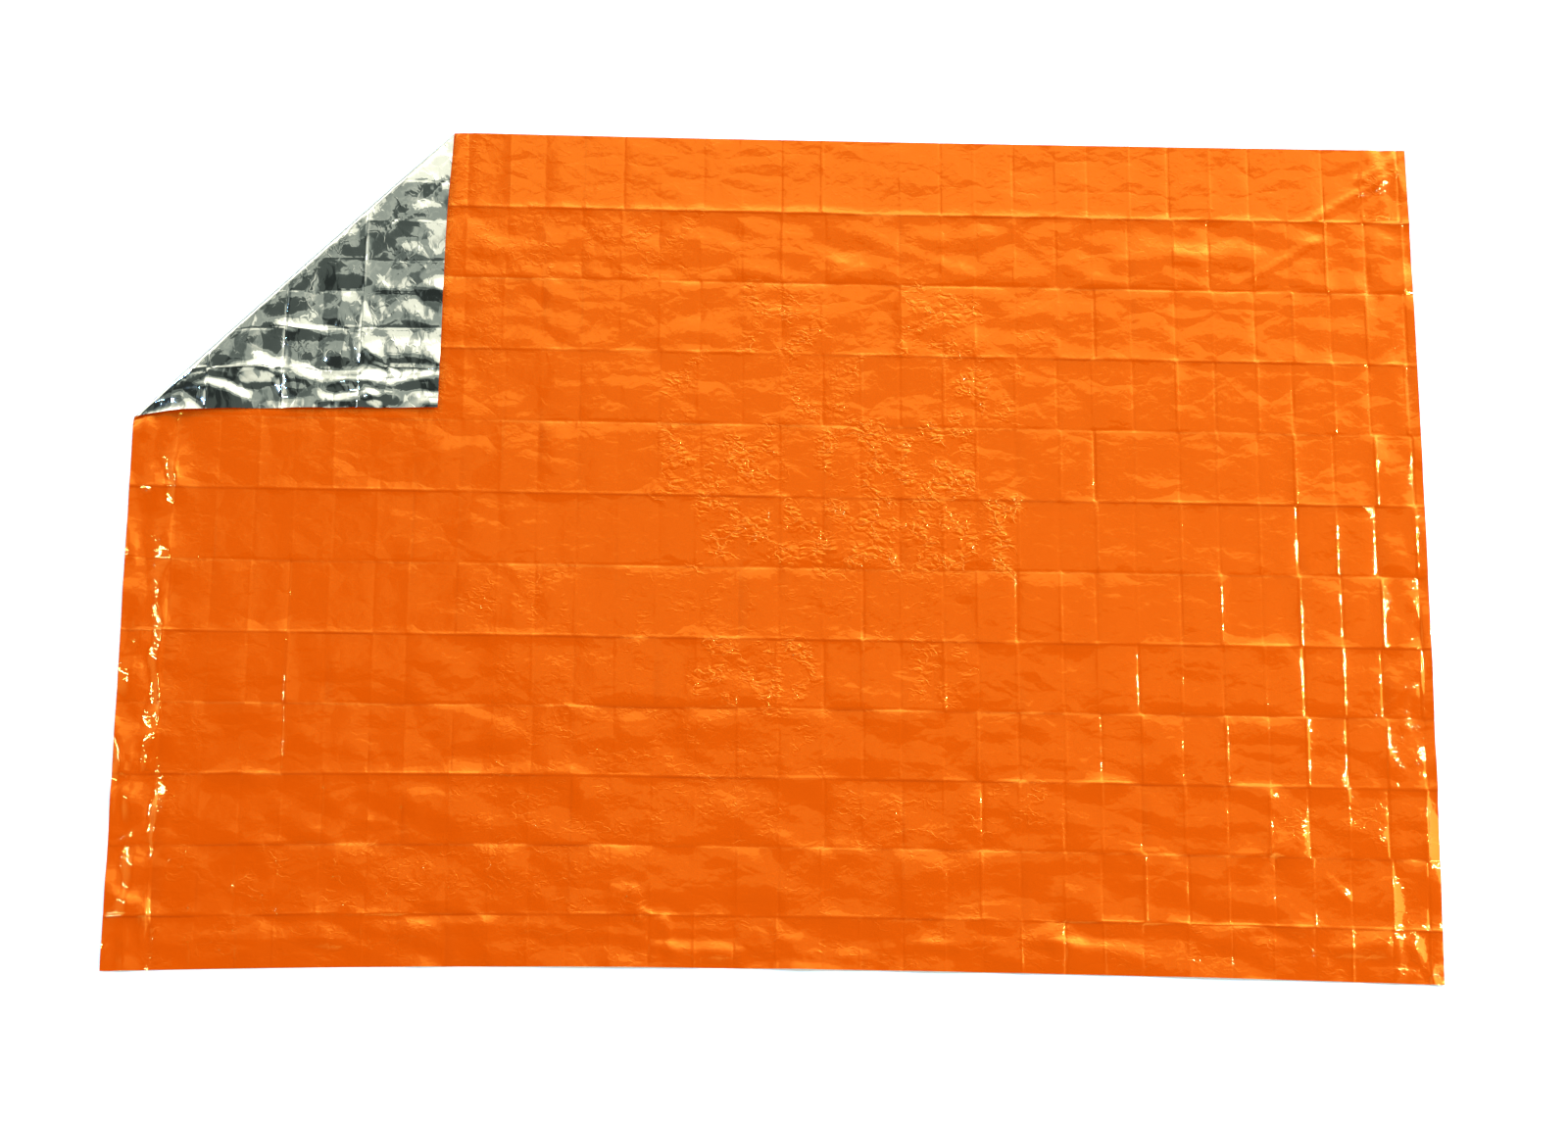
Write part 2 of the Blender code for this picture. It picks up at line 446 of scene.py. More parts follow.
# The wrinkles: x0, y0, x1, y1, height, reach
WRINKLES = records(
    Wrinkle,
    # The far right corner
    (0.88, 0.57, 1.03, 0.66, 3.0, 14.0), (0.96, 0.64, 1.04, 0.69, 3.0, 12.0),
    (0.76, 0.46, 0.90, 0.54, 1.8, 9.0),
    # Beside the left edge
    (-1.00, 0.15, -0.98, 0.10, 2.0, 7.0), (-1.04, 0.00, -1.04, -0.04, 1.8, 7.0),
    (-0.99, -0.07, -0.98, -0.15, 2.0, 7.0), (-1.00, -0.17, -1.00, -0.23, 2.0, 7.0),
    (-1.00, -0.27, -0.99, -0.33, 2.2, 7.0), (-1.03, -0.35, -1.01, -0.38, 1.8, 7.0),
    (-1.04, -0.41, -1.04, -0.50, 2.2, 7.0), (-0.99, -0.41, -1.00, -0.47, 1.8, 7.0),
    (-1.01, -0.53, -1.02, -0.60, 2.0, 7.0), (-0.98, -0.62, -0.97, -0.65, 1.6, 6.0),
    (-1.03, -0.67, -0.99, -0.64, 1.8, 7.0),
    # In the near rows
    (-0.64, -0.38, -0.50, -0.34, 1.2, 9.0), (-0.66, -0.48, -0.54, -0.42, 1.2, 6.0),
    (-0.86, -0.58, -0.78, -0.53, 1.2, 6.0), (0.74, -0.54, 0.80, -0.48, 1.2, 6.0),
    (0.86, -0.53, 0.90, -0.57, 1.8, 8.0), (-0.23, -0.57, -0.22, -0.63, 3.0, 10.0),
    (-0.18, -0.62, -0.17, -0.68, 3.5, 8.0), (1.00, -0.64, 1.03, -0.69, 2.0, 7.0),
    # Along the near edge
    (-0.92, -0.65, -0.64, -0.66, 2.2, 9.0), (0.70, -0.64, 1.00, -0.66, 1.8, 9.0),
    (-0.35, -0.65, -0.02, -0.64, 1.4, 9.0), (0.18, -0.66, 0.50, -0.65, 1.6, 9.0),
    (-0.85, -0.63, -0.50, -0.62, -1.6, 8.0), (-0.20, -0.67, 0.15, -0.68, 1.4, 8.0),
    (0.45, -0.63, 0.75, -0.62, 1.4, 8.0),
)

# The turned corner's main wrinkles, as they are seen from above
CORNER_WRINKLES = records(
    Wrinkle,
    (-0.71, 0.53, -0.56, 0.67, 3.0, 8.0), (-0.66, 0.52, -0.56, 0.61, -2.2, 7.0),
    (-0.68, 0.42, -0.56, 0.42, 2.4, 8.0), (-0.84, 0.35, -0.70, 0.34, 2.6, 9.0),
    (-0.70, 0.33, -0.63, 0.27, 2.0, 7.0), (-0.84, 0.27, -0.70, 0.25, 2.8, 9.0),
    (-0.71, 0.26, -0.62, 0.20, 2.6, 9.0), (-0.92, 0.31, -0.85, 0.38, 2.0, 6.0),
    (-0.95, 0.27, -0.90, 0.33, -1.6, 6.0),
)


# ---- the film

# Where the grid's lines lie beside a crease, in millimetres
CREASE_LINES = (-5.0, -2.0, 0.0, 2.0, 5.0)
# How far a column crease's roof is worked out to each side
NEAR_A_CREASE = 0.05
# How round a crease's top is, as a share of its reach, and the limits of a row crease's swell
ROUND_TOP, SWELL_LIMITS = 0.2, (0.15, 1.2)
# The power that fills a panel's flanks across: 1 leaves a parabola
FLANK = 0.7
# A wrinkle's taper as a share of its length, and its foot and roof as shares of its reach
WRINKLE_TAPER, WRINKLE_FOOT, WRINKLE_ROOF = 0.15, 2.2, 0.6
# From how far before the bend, and how wide round a wrinkle, the grid is halved
FINE_BEFORE_BEND, FINE_BESIDE_WRINKLE = 0.020, 1.2
# How far from a scoring line faces are cut, and how near to it a corner counts as on it
SCORE_REACH, SCORE_MERGE = 0.012, 0.1 * MM


@dataclass
class FoilFilm:
    """The blanket's film: its flat plan, its relief, and how it is laid.

    Attributes:
        size, pack, bend, outline: the cut film, the pack whose creases it kept, the turned
            corner, and how the edges are drawn in.
        crease_reach: how far a column crease falls off to each side.
        row_blend: how far round a row crease the columns shift to the next row's places.
        jog: how far a column crease may lie from its mean place in a row.
        float_height: how high the film lies on average.
        fill, fill_crumpled: the grid's spacing between creases, and in the most faceted
            rows, which start at crumpled_from.
        painted_shade_offset, painted_shade_reach: how far off its crease a line of painted shade
        lies, and fades.
        edge_reach, edge_fade: how far the short edges' tall facets reach in, and fade.
        right_edge_share: their share at the right edge; at the left it is whole.
        left_crease_share, middle: the column creases' strength at the left, against the
            right, and how wide the middle is over which it changes.
        patch_fade, crumple_sink: over how far a crumpled patch fades out at its border,
            and how far it sinks, so that it lies as high as the rest.
        puff: how high a panel may puff up between its creases.
        lowest: how softly the relief is kept above the surface.
        sharp_from: the angle from which an edge is shaded sharp, in degrees.
        least_height, height_range, height_law: a column crease's least height and the
            range above it, in millimetres, and its beta law there.
        bold_law: the least and greatest share of its height that a bold crease has.
        seed: the draw of the column creases and the puffs.
    """

    size: FilmSize = FilmSize()
    pack: Pack = Pack()
    bend: Bend = Bend()
    outline: Outline = Outline()
    crease_reach: float = 2.6 * MM
    row_blend: float = 5.0 * MM
    jog: float = 3.5 * MM
    float_height: float = 2.6 * MM
    fill: float = 17.0 * MM
    fill_crumpled: float = 10.5 * MM
    crumpled_from: float = 0.33
    painted_shade_offset: float = 2.0 * MM
    painted_shade_reach: float = 1.8 * MM
    edge_reach: float = 0.095
    edge_fade: float = 0.030
    right_edge_share: float = 0.45
    left_crease_share: float = 0.40
    middle: float = 0.6
    patch_fade: float = 0.020
    crumple_sink: float = 1.2 * MM
    puff: float = 0.55 * MM
    lowest: float = 0.4 * MM
    sharp_from: float = 70.0
    least_height: float = 0.25
    height_range: float = 1.45
    height_law: tuple[float, float] = (1.4, 2.4)
    bold_law: tuple[float, float] = (0.75, 1.1)
    seed: int = 412

    def __post_init__(self) -> None:
        """Place the creases, draw each row's shifts, heights and puffs, and set up the noise."""
        rng = np.random.default_rng(self.seed)
        self.columns = self.pack.column_places(self.size.length)
        self.row_places = self.pack.row_places(self.size.width)
        rows, columns = len(self.row_places) + 1, len(self.columns)
        self.shifts = rng.uniform(-1, 1, (rows, columns)) * self.jog
        sense = np.where((np.arange(rows)[:, None] + np.arange(columns)) % 2, -1.0, 1.0)
        law = rng.beta(*self.height_law, (rows, columns))
        depth = self.least_height + self.height_range * law
        to_right = smooth(self.columns / self.middle + 0.5)
        worked = self.left_crease_share + (1 - self.left_crease_share) * to_right
        self.heights = sense * depth * worked * MM
        for bold in BOLD_CREASES:
            stretch = self.heights[bold.first_row : bold.last_row + 1, columns - bold.column]
            uneven = rng.uniform(*self.bold_law, stretch.shape)
            stretch[:] = np.sign(stretch) * bold.height * MM * uneven
        self.puffs = rng.normal(0, 1, (rows, columns + 1))
        half_length, half_width = self.size.half
        self.row_edges = np.concatenate([[half_width], self.row_places, [-half_width]])
        self.column_edges = np.concatenate([[-half_length], self.columns, [half_length]])
        self.row_waver = FilmNoise(40, 0.060, height=1.0 * MM)
        self.row_swell = FilmNoise(41, 0.130, height=0.5, mean=0.75)
        # How strong the painted shade beside the row and the column creases is, varying along them
        self.row_painted_shade = FilmNoise(41, 0.090, height=0.45, mean=0.55)
        self.column_fade = FilmNoise(42, 0.045, height=0.35, mean=0.8)
        self.column_painted_shade = FilmNoise(42, 0.110, height=0.5)
        self.broad = FilmNoise(43, 0.085, stretch=1.7, height=1.6 * MM)
        self.streaks = FilmNoise(44, 0.030, stretch=3.2, height=1.0 * MM)
        self.ragged = (FilmNoise(45, 0.030, height=0.6), FilmNoise(46, 0.012, height=0.3))
        self.wander = (FilmNoise(47, 0.040, height=0.012), FilmNoise(48, 0.040, height=0.012))
        self.folds = (
            FilmNoise(49, 0.034, stretch=1.6, height=3.2 * MM),
            FilmNoise(50, 0.017, stretch=1.3, height=1.4 * MM),
        )
        self.wrinkle_waver = FilmNoise(51, 0.025, height=1.5 * MM)
        self.orange_facets = Facets(61, length=0.036, stretch=2.2, slope=0.13)
        self.edge_facets = Facets(63, length=0.085, stretch=0.32, slope=0.22)
        self.corner_facets = Facets(79, length=0.060, stretch=1.6, slope=0.16)

    # The pack's rows and columns

    def row_at(self, v: Array) -> Array:
        """Return which row a place across lies in, with an eased step at each row crease."""
        return sum(smooth((place - v) / (2 * self.row_blend) + 0.5) for place in self.row_places)

    def by_row(self, table: Array, v: Array) -> Array:
        """Return the rows of a table at places across, eased from row to row."""
        row = self.row_at(v)
        low = np.clip(np.floor(row).astype(int), 0, len(table) - 1)
        high = np.clip(low + 1, 0, len(table) - 1)
        share = (row - low)[..., None]
        return table[low] * (1 - share) + table[high] * share

    def fill_lines(self, creases: Array, half_span: float, finer_from: float = math.inf) -> Array:
        """Return grid lines: some at each crease, and even ones between and past them.

        Args:
            creases: where the creases lie.
            half_span: where the last line lies, on both sides.
            finer_from: the place past which the film is most faceted.

        Returns:
            The lines' places.
        """
        offsets = np.array(CREASE_LINES) * MM
        lines = [np.array([-half_span, half_span])]
        ends = [-half_span - offsets[-1], half_span - offsets[0]]
        bounds = np.sort(np.concatenate([ends, creases]))
        for low, high in zip(bounds[:-1], bounds[1:]):
            start, end = low + offsets[-1], high + offsets[0]
            fill = self.fill if end < finer_from else self.fill_crumpled
            count = max(int(round((end - start) / fill)), 1)
            lines.append(np.linspace(start, end, count + 1)[1:-1])
        for crease in creases:
            lines.append(crease + offsets)
        return np.unique(np.clip(np.round(np.concatenate(lines), 6), -half_span, half_span))

    def flat_mesh(self) -> bmesh.types.BMesh:
        """Return the flat film, gridded along its creases and scored along the bend."""
        half_length, half_width = self.size.half
        across = self.fill_lines(self.row_places, half_width, self.crumpled_from)
        along = self.fill_lines(self.columns, half_length)
        shift_by_row = np.array([np.interp(along, self.columns, row) for row in self.shifts])
        shift_by_row[:, [0, -1]] = 0
        u = along[None, :] + self.by_row(shift_by_row, across)
        v = np.repeat(across[:, None], len(along), axis=1)
        points = np.column_stack([u.ravel(), v.ravel(), np.zeros(u.size)])
        rows, columns = u.shape
        corner = (np.arange(rows - 1)[:, None] * columns + np.arange(columns - 1)).ravel()
        faces = np.column_stack([corner, corner + 1, corner + columns + 1, corner + columns])
        mesh = bpy.data.meshes.new("flat_film")
        mesh.from_pydata(points, [], faces)
        film = bmesh.new()
        film.from_mesh(mesh)
        bpy.data.meshes.remove(mesh)
        self.refine(film)
        self.score_bend(film)
        # Both sides of so thin a film need the same triangles, or they cross
        bmesh.ops.triangulate(film, faces=film.faces)
        return film

    def refine(self, film: bmesh.types.BMesh) -> None:
        """Halve the grid where the film is folded over or wrinkled."""
        centres = np.array([f.calc_center_median()[:2] for f in film.faces])
        u, v = centres[:, 0], centres[:, 1]
        fine = self.past_bend(u, v) > -FINE_BEFORE_BEND
        for wrinkle in WRINKLES:
            fine |= self.wrinkle_falloff(wrinkle, u, v, widen=FINE_BESIDE_WRINKLE)[0] > 0
        film.faces.ensure_lookup_table()
        chosen = {edge for i in np.flatnonzero(fine) for edge in film.faces[i].edges}
        bmesh.ops.subdivide_edges(film, edges=list(chosen), cuts=1, use_grid_fill=True)

    def score_bend(self, film: bmesh.types.BMesh) -> None:
        """Cut the faces that the bend crosses, along lines that go round it in even steps."""
        left_end, _, to_corner = self.bend_line()
        half_arc = math.pi / 2 * self.bend.radius
        middle = half_arc - self.bend.radius
        for step in range(self.bend.steps + 1):
            away = middle + half_arc * (2 * step / self.bend.steps - 1)
            point = left_end + away * to_corner
            centres = [(face, face.calc_center_median() - point) for face in film.faces]
            near = [face for face, off in centres if abs(off.dot(to_corner)) < SCORE_REACH]
            corners, sides = {v for f in near for v in f.verts}, {e for f in near for e in f.edges}
            plane = {"plane_co": point, "plane_no": to_corner, "dist": SCORE_MERGE}
            bmesh.ops.bisect_plane(film, geom=[*corners, *sides, *near], **plane)

    # The bend

    def bend_line(self) -> tuple[Vector, Vector, Vector]:
        """Return the bend's outer line: a point on it, its way and the way to the corner."""
        half_length, half_width = self.size.half
        far_end = Vector((-half_length + self.bend.along_far_edge, half_width, 0))
        left_end = Vector((-half_length, half_width - self.bend.along_left_edge, 0))
        along = (far_end - left_end).normalized()
        return left_end, along, Vector((-along.y, along.x, 0))

    def past_bend(self, u: Array, v: Array) -> Array:
        """Return how far points of the plan lie past the bend's outer line."""
        left_end, _, to_corner = self.bend_line()
        return (u - left_end.x) * to_corner.x + (v - left_end.y) * to_corner.y

    # The relief over the flat plan

    def crease_profile(self, away: Array, reach: float) -> Array:
        """Return a crease's section: an exponential roof with a slightly round top."""
        round_top = ROUND_TOP * reach
        return np.exp((round_top - np.sqrt(away**2 + round_top**2)) / reach)

    def row_relief(self, u: Array, v: Array) -> Array:
        """Return the row creases: roofs that waver, and swell and sink along the length."""
        height = np.zeros_like(u)
        for number, (crease, place) in enumerate(zip(ROW_CREASES, self.row_places)):
            line = place + self.row_waver.at(u, number)
            swell = np.clip(self.row_swell.at(u, number), *SWELL_LIMITS)
            profile = self.crease_profile(v - line, crease.reach * MM)
            height += crease.crest.value * crease.height * MM * swell * profile
        return height

    # Painted shade: a thin line of darker colour beside each crease stands in for the shadow that
    # falls in it
    def crease_painted_shade(self, u: Array, v: Array) -> Array:
        """Return how strongly painted shade darkens the colour along the creases, from 0 to 1."""
        lines = []
        for number, place in enumerate(self.row_places):
            strength = self.row_painted_shade.at(u, number + 0.5)
            lines.append((strength, v - place + self.painted_shade_offset))
        for number, place in enumerate(self.columns):
            strength = self.column_painted_shade.at(number + 0.5, v)
            lines.append((strength, u - place - self.painted_shade_offset))
        shaded = [strength * np.exp(-np.abs(away) / self.painted_shade_reach) for strength, away in lines]
        return np.maximum.reduce([np.zeros_like(u), *shaded])

    def column_relief(self, u: Array, v: Array) -> Array:
        """Return the column creases, with each row's own places and heights."""
        height = np.zeros_like(u)
        places = self.by_row(self.columns + self.shifts, v)
        heights = self.by_row(self.heights, v)
        for column, place in enumerate(self.columns):
            near = np.abs(u - place) < NEAR_A_CREASE
            away = u[near] - places[near, column]
            fade = self.column_fade.at(column, v[near])
            roof = self.crease_profile(away, self.crease_reach)
            height[near] += heights[near, column] * fade * roof
        return height

    def panel_relief(self, u: Array, v: Array) -> Array:
        """Return each panel's own puff: a low pillow between its four creases.

        Along the length it is a parabola, and across a parabola with fuller flanks.
        """
        i, s = cell(self.column_edges, u)
        j, t = cell(-self.row_edges, -v)
        return self.puff * self.puffs[j, i] * (4 * s * (1 - s)) * (4 * t * (1 - t)) ** FLANK

    def calm_swell(self, u: Array, v: Array) -> Array:
        """Return the broad waves and the streaks along the rows, by each row's shares."""
        shares = self.by_row(np.array([(row.swell, row.streaks) for row in ROWS]), v)
        return shares[:, 0] * self.broad.at(u, v) + shares[:, 1] * self.streaks.at(u, v)

    def facet_relief(self, u: Array, v: Array) -> Array:
        """Return the facets, by each row's share, and the short edges' tall ones."""
        shares = self.by_row(np.array([(row.facets,) for row in ROWS]), v)
        half_length, _ = self.size.half
        left = smooth((self.edge_reach - (u + half_length)) / self.edge_fade)
        right = smooth((self.edge_reach - (half_length - u)) / self.edge_fade)
        beside_edges = np.maximum(left, self.right_edge_share * right)
        own = shares[:, 0] * self.orange_facets.relief(u, v)
        return own + beside_edges * self.edge_facets.relief(u, v)

    def masks(self, u: Array, v: Array) -> tuple[Array, Array]:
        """Return the shares of coarse and fine crumples, from the patches' ragged boxes."""
        coarse, fine = np.zeros_like(u), np.zeros_like(u)
        ragged = sum(noise.at(u, v) for noise in self.ragged)
        for patch in PATCHES:
            right, left = self.column_edges[[-1 - patch.right, -1 - patch.left]]
            far, near = self.row_edges[[patch.first_row, patch.last_row + 1]]
            inside = np.minimum.reduce([right - u, u - left, far - v, v - near])
            share = smooth(inside / self.patch_fade + 0.5 + ragged)
            coarse = np.maximum(coarse, patch.coarse * share)
            fine = np.maximum(fine, patch.fine * share)
        return coarse, fine

    def crumples(self, u: Array, v: Array) -> Array:
        """Return thumb-sized crumples: folded noise, whose zero lines make sharp valleys."""
        wander_u, wander_v = u + self.wander[0].at(u, v), v + self.wander[1].at(u, v)
        return sum(np.abs(noise.at(wander_u, wander_v)) for noise in self.folds)

    def wrinkle_falloff(
        self, wrinkle: Wrinkle, u: Array, v: Array, widen: float = 1.0
    ) -> tuple[Array, Array]:
        """Return a wrinkle's share at points, 1 on its line, and its signed side distance."""
        run_u, run_v = wrinkle.x1 - wrinkle.x0, wrinkle.y1 - wrinkle.y0
        length = math.hypot(run_u, run_v)
        run_u, run_v = run_u / length, run_v / length
        t = ((u - wrinkle.x0) * run_u + (v - wrinkle.y0) * run_v) / length
        side = (u - wrinkle.x0) * -run_v + (v - wrinkle.y0) * run_u
        reach = wrinkle.reach * MM * widen
        ends = smooth((np.minimum(t, 1 - t) + WRINKLE_TAPER) / (2 * WRINKLE_TAPER))
        return ends * smooth(1 - np.abs(side) / (WRINKLE_FOOT * reach)), side

    def wrinkle_relief(self, wrinkles: tuple[Wrinkle, ...], u: Array, v: Array) -> Array:
        """Return the listed wrinkles: roofs along their lines, tapered at the ends."""
        height = np.zeros_like(u)
        for wrinkle in wrinkles:
            share, side = self.wrinkle_falloff(wrinkle, u, v)
            side = side + self.wrinkle_waver.at(u, v)
            roof = self.crease_profile(side, wrinkle.reach * MM * WRINKLE_ROOF)
            height += wrinkle.height * MM * share * roof
        return height

    def relief(self, u: Array, v: Array) -> tuple[Array, Array, Array]:
        """Return the film's height over the flat plan, and its coarse and fine crumple shares.

        The sum of them all is eased to stay above zero: lowest * log(1 + exp(sum / lowest)).
        """
        coarse, fine = self.masks(u, v)
        height = (
            self.row_relief(u, v)
            + self.column_relief(u, v)
            + self.panel_relief(u, v)
            + self.calm_swell(u, v)
            + coarse * (self.crumples(u, v) - self.crumple_sink)
            + self.wrinkle_relief(WRINKLES, u, v)
            + self.facet_relief(u, v)
        )
        height = self.lowest * np.logaddexp(0, (self.float_height + height) / self.lowest)
        return height, coarse, fine

    # How it lies

    def drawn_in(self, x: Array, y: Array) -> tuple[Array, Array]:
        """Return the places after the edges are drawn in: parabolas that fade inwards."""
        half_length, half_width = self.size.half
        line = self.outline
        reach = np.where(x < line.peak_x, line.peak_x + half_length, half_length - line.peak_x)
        along = np.clip(1 - ((x - line.peak_x) / reach) ** 2, 0, 1)
        near = np.clip(1 - (y + half_width) / line.near_reach, 0, 1)
        far = np.clip(1 - (half_width - y) / line.far_reach, 0, 1)
        right = np.clip(1 - (half_length - x) / line.right_reach, 0, 1)
        return (
            x - line.right_bow * right * (y / half_width) ** 2,
            y + along * (line.near_draw * near - line.far_draw * far),
        )

    def lay(self, u: Array, v: Array) -> tuple[Array, Array, Array]:
        """Lay the flat film's points round the bend, over the film or down on the surface.

        Short of the bend a point keeps its plan place. On the bend it goes round half a
        circle, outwards by its own relief. Past it the point runs back over the film, and
        sinks by a bell curve from the bend's height to the flap's gap over the film below.

        Args:
            u, v: places along the flat film and across it.

        Returns:
            The laid points, and the coarse and fine crumple shares.
        """
        bend, thickness = self.bend, self.size.thickness
        left_end, along, to_corner = self.bend_line()
        length = math.hypot(bend.along_far_edge, bend.along_left_edge)
        run = (u - left_end.x) * along.x + (v - left_end.y) * along.y
        from_end = smooth(np.minimum(run, length - run) / bend.flat_end)
        radius = bend.radius * (bend.end_share + (1 - bend.end_share) * from_end)
        past = self.past_bend(u, v)
        half_arc = math.pi / 2 * radius
        arc = past - half_arc + radius
        turn = np.clip(arc, -half_arc, half_arc) / radius
        flap_run = np.clip(arc - half_arc, 0, None)
        on_flap, short = arc > half_arc, past < -radius

        share_along = np.clip(run / length, 0, 1)
        take_up = bend.take_up_near * (1 - share_along) + bend.take_up_far * share_along
        reach = (
            radius * (np.cos(turn) - 1)
            - flap_run * (1 - bend.shrink)
            + take_up * (1 - np.exp(-flap_run / bend.take_up_reach))
        )
        place = np.where(short, past, reach)
        x = left_end.x + run * along.x + place * to_corner.x
        y = left_end.y + run * along.y + place * to_corner.y

        own, coarse, fine = self.relief(u, v)
        calm = smooth(np.abs(arc) / bend.calm)
        below = self.relief(x, y)[0] + thickness
        over = bend.gap + thickness + np.clip(own * bend.follow_own, 0, None)
        floor = below * bend.follow_below + over
        bell = np.exp(-((flap_run / bend.settle) ** 2))
        raised = own - self.float_height
        flap = floor + (2 * radius - floor) * bell + raised * calm * bell
        corner = self.corner_facets.relief(x, y) + self.wrinkle_relief(CORNER_WRINKLES, x, y)
        corner = corner * smooth(flap_run / bend.facets_from)
        flap = np.maximum(flap + corner, below + bend.gap * bend.least_gap)
        round_bend = radius * (1 + np.sin(turn)) + raised * bend.round_share * np.sin(turn)
        resting = own * (bend.round_share + (1 - bend.round_share) * calm)
        z = np.where(on_flap, flap, np.where(short, resting, np.clip(round_bend, 0, None)))
        x, y = self.drawn_in(x, y)
        return np.column_stack([x, y, z]), coarse, fine

    # The piece

    def build(self, materials: tuple[bpy.types.Material, bpy.types.Material]) -> bpy.types.Object:
        """Build the film as one closed piece.

        Args:
            materials: the orange and the silver finish.

        Returns:
            The blanket's object.
        """
        film = self.flat_mesh()
        open_mesh = bpy.data.meshes.new("film_surface")
        film.to_mesh(open_mesh)
        film.free()
        flat = np.empty(3 * len(open_mesh.vertices))
        open_mesh.vertices.foreach_get("co", flat)
        flat = flat.reshape(-1, 3)
        points, coarse, fine = self.lay(flat[:, 0], flat[:, 1])
        open_mesh.vertices.foreach_set("co", points.ravel())
        # Painted shade along the creases, kept on the points for the orange finish
        crease_shade = self.crease_painted_shade(flat[:, 0], flat[:, 1])
        shares = {"coarse_crumple": coarse, "fine_crumple": fine, "crease_painted_shade": crease_shade}
        for name, values in shares.items():
            open_mesh.attributes.new(name, "FLOAT", "POINT").data.foreach_set("value", values)
        uv = open_mesh.uv_layers.new(name="flat_film")
        corners = np.empty(len(open_mesh.loops), dtype=np.int32)
        open_mesh.loops.foreach_get("vertex_index", corners)
        uv.data.foreach_set("uv", flat[corners, :2].ravel())
        open_mesh.update()

        surface = add_to_scene(bpy.data.objects.new("film_surface", open_mesh))
        for material in materials:
            open_mesh.materials.append(material)
        thicken = surface.modifiers.new("thickness", "SOLIDIFY")
        thicken.thickness = self.size.thickness
        thicken.offset = 1
        thicken.material_offset = 1
        evaluated = surface.evaluated_get(bpy.context.evaluated_depsgraph_get())
        mesh = bpy.data.meshes.new_from_object(evaluated)
        bpy.data.objects.remove(surface)
        bpy.data.meshes.remove(open_mesh)
        mesh.name = "foil_film"
        mesh.shade_smooth()
        mesh.set_sharp_from_angle(angle=math.radians(self.sharp_from))
        return add_to_scene(bpy.data.objects.new("foil_film", mesh))


# ---- finishes


